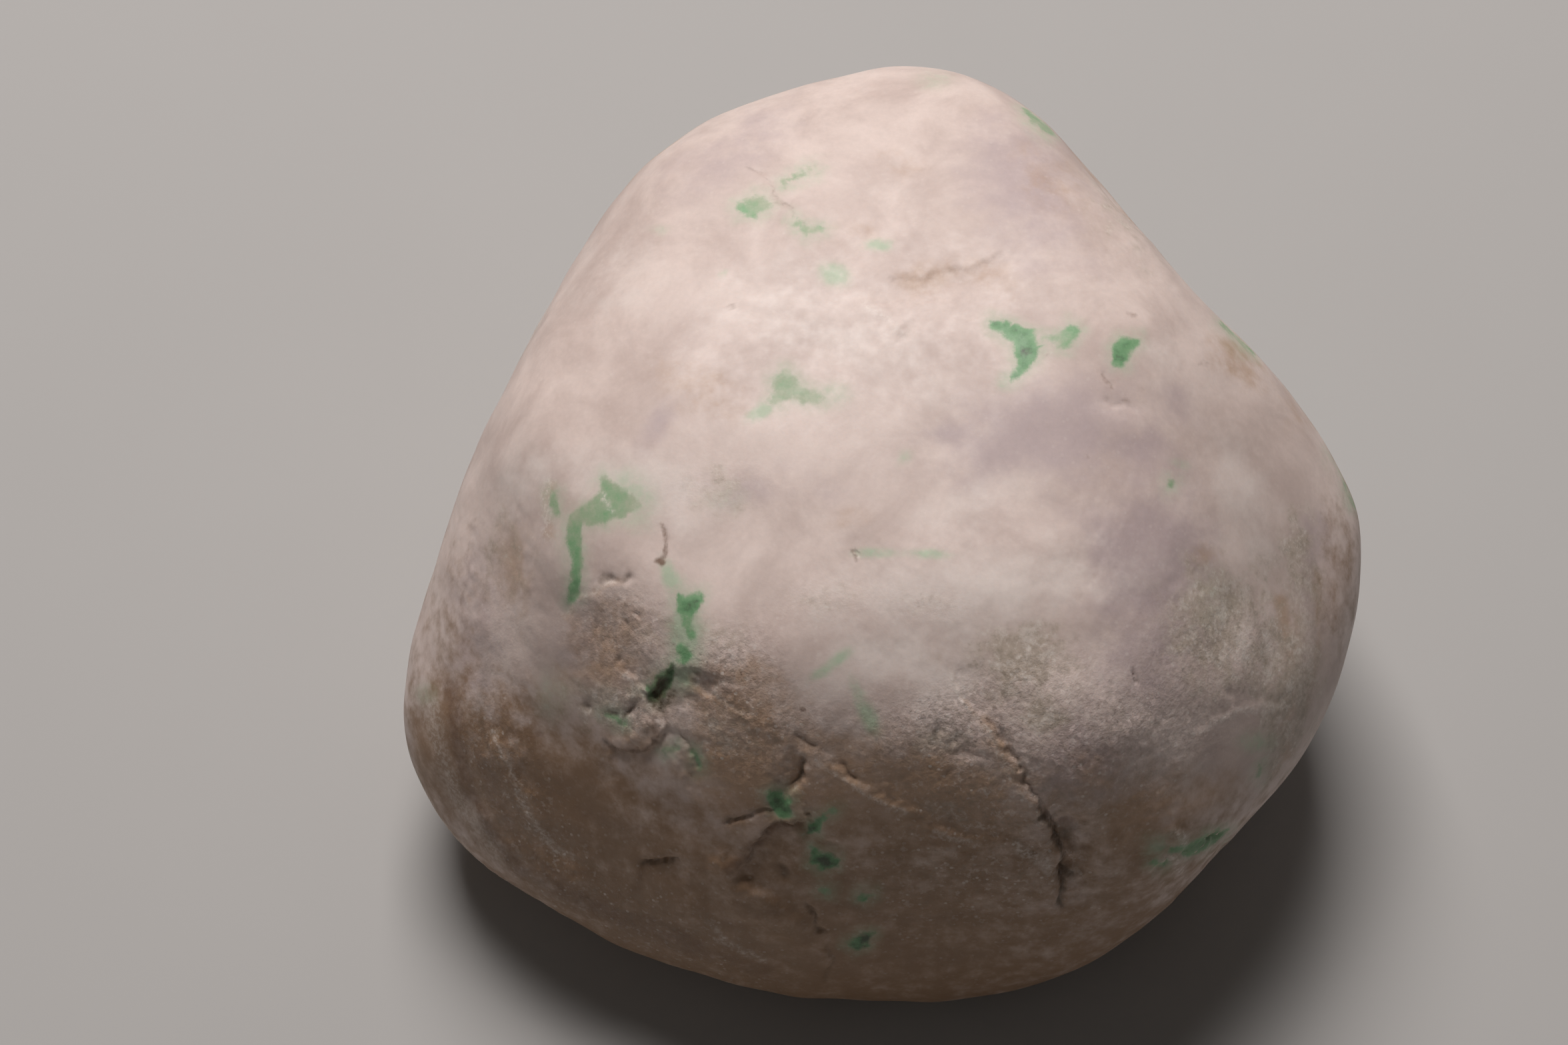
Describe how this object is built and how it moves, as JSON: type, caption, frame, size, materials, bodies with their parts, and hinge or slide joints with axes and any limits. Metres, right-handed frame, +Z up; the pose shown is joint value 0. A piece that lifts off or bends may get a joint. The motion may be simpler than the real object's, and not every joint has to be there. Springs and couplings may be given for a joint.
{
  "type": "raw jade boulder",
  "caption": "One river-worn raw jade boulder with a broad smooth face, a rougher ledged belly and a worn flat back that it rests on.",
  "frame": {"origin": "on the ground plane, at the centre of the boulder's bounding box", "axes": "+Z up out of the resting face, +X toward the boulder's right side as its broad face is seen, +Y toward its crown"},
  "size_m": [0.2206, 0.2044, 0.1311],
  "materials": {
    "raw_jade": "naturally worn, satin to slightly rough, slightly translucent"
  },
  "bodies": {
    "root": {"boulder": "raw_jade"}
  },
  "joints": []
}
